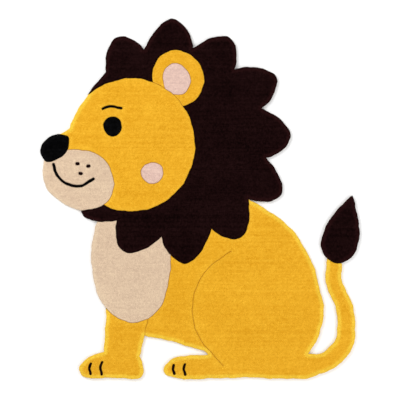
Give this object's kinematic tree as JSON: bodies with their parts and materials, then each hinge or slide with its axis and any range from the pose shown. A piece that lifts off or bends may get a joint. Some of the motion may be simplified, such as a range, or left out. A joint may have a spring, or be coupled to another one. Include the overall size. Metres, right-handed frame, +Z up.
{
  "type": "tufted wool rug",
  "caption": "Flat children's rug of cut wool pile in the shape of a seated lion, with lines carved between its colours.",
  "frame": {"origin": "on the underside, at the middle of the rug's outline", "axes": "+X to the right of the design, +Y towards its top, +Z up out of the pile"},
  "size_m": [1.065, 1.2, 0.014],
  "materials": {
    "wool_mustard": "short cut wool pile, matt",
    "wool_brown": "short cut wool pile, matt",
    "wool_cream": "short cut wool pile, matt",
    "wool_pink": "short cut wool pile, matt",
    "wool_black": "short cut wool pile, matt",
    "backing_cloth": "plain-weave cotton cloth, matt"
  },
  "bodies": {
    "root": {"rug": "wool_mustard"}
  },
  "joints": []
}
